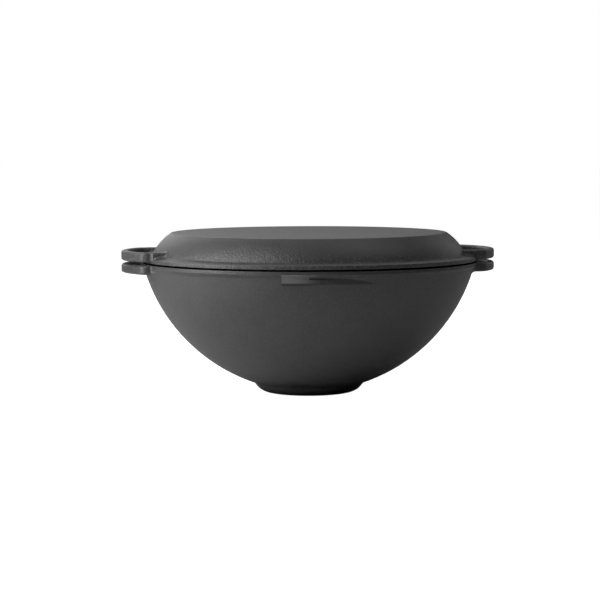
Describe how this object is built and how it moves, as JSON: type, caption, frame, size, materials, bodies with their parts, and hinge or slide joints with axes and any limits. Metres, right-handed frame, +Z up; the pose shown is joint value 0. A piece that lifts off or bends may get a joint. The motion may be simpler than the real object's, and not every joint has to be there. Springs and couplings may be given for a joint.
{
  "type": "cast iron wok",
  "caption": "Round-bottomed cast iron wok with short loop handles and a small flat foot, covered by a shallow pan laid upside down as its lid.",
  "frame": {"origin": "centre of the foot's flat underside, on the axis of the bowl", "axes": "+Z up through the mouth and the lid, +X along the two pairs of handles to the right, -Y towards the remains of the casting gate"},
  "size_m": [0.4018, 0.3612, 0.1718],
  "materials": {
    "bowl_iron": "bare sand-cast iron with a fine grain, dark grey and semi-matte",
    "lid_iron": "bare sand-cast iron with a fine grain, the flat base turned and a little smoother"
  },
  "bodies": {
    "root": {"wok_bowl": "bowl_iron", "lid_pan": "lid_iron"}
  },
  "joints": []
}
